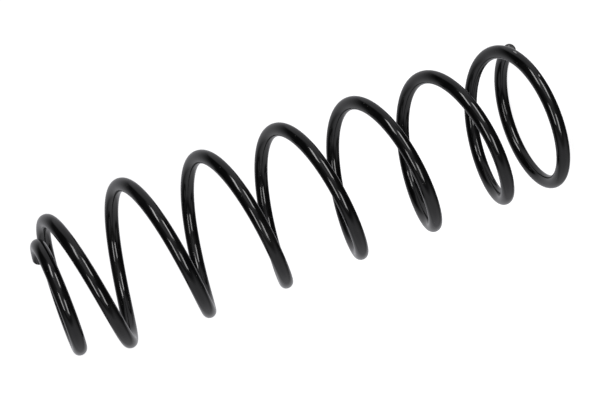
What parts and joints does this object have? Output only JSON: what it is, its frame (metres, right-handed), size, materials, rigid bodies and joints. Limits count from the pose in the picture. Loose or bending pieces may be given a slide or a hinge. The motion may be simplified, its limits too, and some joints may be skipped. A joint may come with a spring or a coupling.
{
  "type": "coil spring",
  "caption": "Compression coil spring for a car suspension: right-hand wound round wire, black coated, with a nearly closed lower end and a narrower, tucked-in upper end.",
  "frame": {"origin": "on the spring's axis, level with the lowest point of the wire, which is the underside of the lower tip", "axes": "+Z along the spring's axis towards the narrower upper end; +X from the axis to the lower tip's sheared end"},
  "size_m": [0.1297, 0.1296, 0.4369],
  "materials": {
    "coated_steel": "semi-gloss black powder coat with a fine orange peel"
  },
  "bodies": {
    "lower_end_coil": {"lower_end_tip": "coated_steel", "lower_end_middle": "coated_steel", "lower_end_rise": "coated_steel"},
    "coil_1_quarter_1": {"coil_1_quarter_1": "coated_steel"},
    "coil_1_quarter_2": {"coil_1_quarter_2": "coated_steel"},
    "coil_1_quarter_3": {"coil_1_quarter_3": "coated_steel"},
    "coil_1_quarter_4": {"coil_1_quarter_4": "coated_steel"},
    "coil_2_quarter_1": {"coil_2_quarter_1": "coated_steel"},
    "coil_2_quarter_2": {"coil_2_quarter_2": "coated_steel"},
    "coil_2_quarter_3": {"coil_2_quarter_3": "coated_steel"},
    "coil_2_quarter_4": {"coil_2_quarter_4": "coated_steel"},
    "coil_3_quarter_1": {"coil_3_quarter_1": "coated_steel"},
    "coil_3_quarter_2": {"coil_3_quarter_2": "coated_steel"},
    "coil_3_quarter_3": {"coil_3_quarter_3": "coated_steel"},
    "coil_3_quarter_4": {"coil_3_quarter_4": "coated_steel"},
    "coil_4_quarter_1": {"coil_4_quarter_1": "coated_steel"},
    "coil_4_quarter_2": {"coil_4_quarter_2": "coated_steel"},
    "coil_4_quarter_3": {"coil_4_quarter_3": "coated_steel"},
    "coil_4_quarter_4": {"coil_4_quarter_4": "coated_steel"},
    "coil_5_quarter_1": {"coil_5_quarter_1": "coated_steel"},
    "coil_5_quarter_2": {"coil_5_quarter_2": "coated_steel"},
    "coil_5_quarter_3": {"coil_5_quarter_3": "coated_steel"},
    "coil_5_quarter_4": {"coil_5_quarter_4": "coated_steel"},
    "coil_6_quarter_1": {"coil_6_quarter_1": "coated_steel"},
    "coil_6_quarter_2": {"coil_6_quarter_2": "coated_steel"},
    "coil_6_quarter_3": {"coil_6_quarter_3": "coated_steel"},
    "coil_6_quarter_4": {"coil_6_quarter_4": "coated_steel"},
    "coil_7_quarter_1": {"coil_7_quarter_1": "coated_steel"},
    "coil_7_quarter_2": {"coil_7_quarter_2": "coated_steel"},
    "upper_end_coil": {"upper_end_neck": "coated_steel", "upper_end_tuck": "coated_steel", "upper_end_tip": "coated_steel"}
  },
  "joints": [
    {"name": "compression", "type": "slide", "parent": "lower_end_coil", "child": "upper_end_coil", "axis": [0, 0, -1], "range_m": [0, 0.1768], "stiffness_N_per_m": 13800},
    {"name": "coil_1_quarter_1_travel", "type": "slide", "parent": "lower_end_coil", "child": "coil_1_quarter_1", "axis": [0, 0, -1], "range_m": [0, 0.0034]},
    {"name": "coil_1_quarter_2_travel", "type": "slide", "parent": "lower_end_coil", "child": "coil_1_quarter_2", "axis": [0, 0, -1], "range_m": [0, 0.0102]},
    {"name": "coil_1_quarter_3_travel", "type": "slide", "parent": "lower_end_coil", "child": "coil_1_quarter_3", "axis": [0, 0, -1], "range_m": [0, 0.017]},
    {"name": "coil_1_quarter_4_travel", "type": "slide", "parent": "lower_end_coil", "child": "coil_1_quarter_4", "axis": [0, 0, -1], "range_m": [0, 0.0238]},
    {"name": "coil_2_quarter_1_travel", "type": "slide", "parent": "lower_end_coil", "child": "coil_2_quarter_1", "axis": [0, 0, -1], "range_m": [0, 0.0306]},
    {"name": "coil_2_quarter_2_travel", "type": "slide", "parent": "lower_end_coil", "child": "coil_2_quarter_2", "axis": [0, 0, -1], "range_m": [0, 0.0374]},
    {"name": "coil_2_quarter_3_travel", "type": "slide", "parent": "lower_end_coil", "child": "coil_2_quarter_3", "axis": [0, 0, -1], "range_m": [0, 0.0442]},
    {"name": "coil_2_quarter_4_travel", "type": "slide", "parent": "lower_end_coil", "child": "coil_2_quarter_4", "axis": [0, 0, -1], "range_m": [0, 0.051]},
    {"name": "coil_3_quarter_1_travel", "type": "slide", "parent": "lower_end_coil", "child": "coil_3_quarter_1", "axis": [0, 0, -1], "range_m": [0, 0.0578]},
    {"name": "coil_3_quarter_2_travel", "type": "slide", "parent": "lower_end_coil", "child": "coil_3_quarter_2", "axis": [0, 0, -1], "range_m": [0, 0.0646]},
    {"name": "coil_3_quarter_3_travel", "type": "slide", "parent": "lower_end_coil", "child": "coil_3_quarter_3", "axis": [0, 0, -1], "range_m": [0, 0.0714]},
    {"name": "coil_3_quarter_4_travel", "type": "slide", "parent": "lower_end_coil", "child": "coil_3_quarter_4", "axis": [0, 0, -1], "range_m": [0, 0.0782]},
    {"name": "coil_4_quarter_1_travel", "type": "slide", "parent": "lower_end_coil", "child": "coil_4_quarter_1", "axis": [0, 0, -1], "range_m": [0, 0.085]},
    {"name": "coil_4_quarter_2_travel", "type": "slide", "parent": "lower_end_coil", "child": "coil_4_quarter_2", "axis": [0, 0, -1], "range_m": [0, 0.0918]},
    {"name": "coil_4_quarter_3_travel", "type": "slide", "parent": "lower_end_coil", "child": "coil_4_quarter_3", "axis": [0, 0, -1], "range_m": [0, 0.0986]},
    {"name": "coil_4_quarter_4_travel", "type": "slide", "parent": "lower_end_coil", "child": "coil_4_quarter_4", "axis": [0, 0, -1], "range_m": [0, 0.1054]},
    {"name": "coil_5_quarter_1_travel", "type": "slide", "parent": "lower_end_coil", "child": "coil_5_quarter_1", "axis": [0, 0, -1], "range_m": [0, 0.1122]},
    {"name": "coil_5_quarter_2_travel", "type": "slide", "parent": "lower_end_coil", "child": "coil_5_quarter_2", "axis": [0, 0, -1], "range_m": [0, 0.119]},
    {"name": "coil_5_quarter_3_travel", "type": "slide", "parent": "lower_end_coil", "child": "coil_5_quarter_3", "axis": [0, 0, -1], "range_m": [0, 0.1258]},
    {"name": "coil_5_quarter_4_travel", "type": "slide", "parent": "lower_end_coil", "child": "coil_5_quarter_4", "axis": [0, 0, -1], "range_m": [0, 0.1326]},
    {"name": "coil_6_quarter_1_travel", "type": "slide", "parent": "lower_end_coil", "child": "coil_6_quarter_1", "axis": [0, 0, -1], "range_m": [0, 0.1394]},
    {"name": "coil_6_quarter_2_travel", "type": "slide", "parent": "lower_end_coil", "child": "coil_6_quarter_2", "axis": [0, 0, -1], "range_m": [0, 0.1462]},
    {"name": "coil_6_quarter_3_travel", "type": "slide", "parent": "lower_end_coil", "child": "coil_6_quarter_3", "axis": [0, 0, -1], "range_m": [0, 0.153]},
    {"name": "coil_6_quarter_4_travel", "type": "slide", "parent": "lower_end_coil", "child": "coil_6_quarter_4", "axis": [0, 0, -1], "range_m": [0, 0.1598]},
    {"name": "coil_7_quarter_1_travel", "type": "slide", "parent": "lower_end_coil", "child": "coil_7_quarter_1", "axis": [0, 0, -1], "range_m": [0, 0.1666]},
    {"name": "coil_7_quarter_2_travel", "type": "slide", "parent": "lower_end_coil", "child": "coil_7_quarter_2", "axis": [0, 0, -1], "range_m": [0, 0.1734]}
  ],
  "couplings": [
    {"joint": "coil_1_quarter_1_travel", "follows": "compression", "ratio": 0.019231},
    {"joint": "coil_1_quarter_2_travel", "follows": "compression", "ratio": 0.057692},
    {"joint": "coil_1_quarter_3_travel", "follows": "compression", "ratio": 0.096154},
    {"joint": "coil_1_quarter_4_travel", "follows": "compression", "ratio": 0.13462},
    {"joint": "coil_2_quarter_1_travel", "follows": "compression", "ratio": 0.17308},
    {"joint": "coil_2_quarter_2_travel", "follows": "compression", "ratio": 0.21154},
    {"joint": "coil_2_quarter_3_travel", "follows": "compression", "ratio": 0.25},
    {"joint": "coil_2_quarter_4_travel", "follows": "compression", "ratio": 0.28846},
    {"joint": "coil_3_quarter_1_travel", "follows": "compression", "ratio": 0.32692},
    {"joint": "coil_3_quarter_2_travel", "follows": "compression", "ratio": 0.36538},
    {"joint": "coil_3_quarter_3_travel", "follows": "compression", "ratio": 0.40385},
    {"joint": "coil_3_quarter_4_travel", "follows": "compression", "ratio": 0.44231},
    {"joint": "coil_4_quarter_1_travel", "follows": "compression", "ratio": 0.48077},
    {"joint": "coil_4_quarter_2_travel", "follows": "compression", "ratio": 0.51923},
    {"joint": "coil_4_quarter_3_travel", "follows": "compression", "ratio": 0.55769},
    {"joint": "coil_4_quarter_4_travel", "follows": "compression", "ratio": 0.59615},
    {"joint": "coil_5_quarter_1_travel", "follows": "compression", "ratio": 0.63462},
    {"joint": "coil_5_quarter_2_travel", "follows": "compression", "ratio": 0.67308},
    {"joint": "coil_5_quarter_3_travel", "follows": "compression", "ratio": 0.71154},
    {"joint": "coil_5_quarter_4_travel", "follows": "compression", "ratio": 0.75},
    {"joint": "coil_6_quarter_1_travel", "follows": "compression", "ratio": 0.78846},
    {"joint": "coil_6_quarter_2_travel", "follows": "compression", "ratio": 0.82692},
    {"joint": "coil_6_quarter_3_travel", "follows": "compression", "ratio": 0.86538},
    {"joint": "coil_6_quarter_4_travel", "follows": "compression", "ratio": 0.90385},
    {"joint": "coil_7_quarter_1_travel", "follows": "compression", "ratio": 0.94231},
    {"joint": "coil_7_quarter_2_travel", "follows": "compression", "ratio": 0.98077}
  ]
}
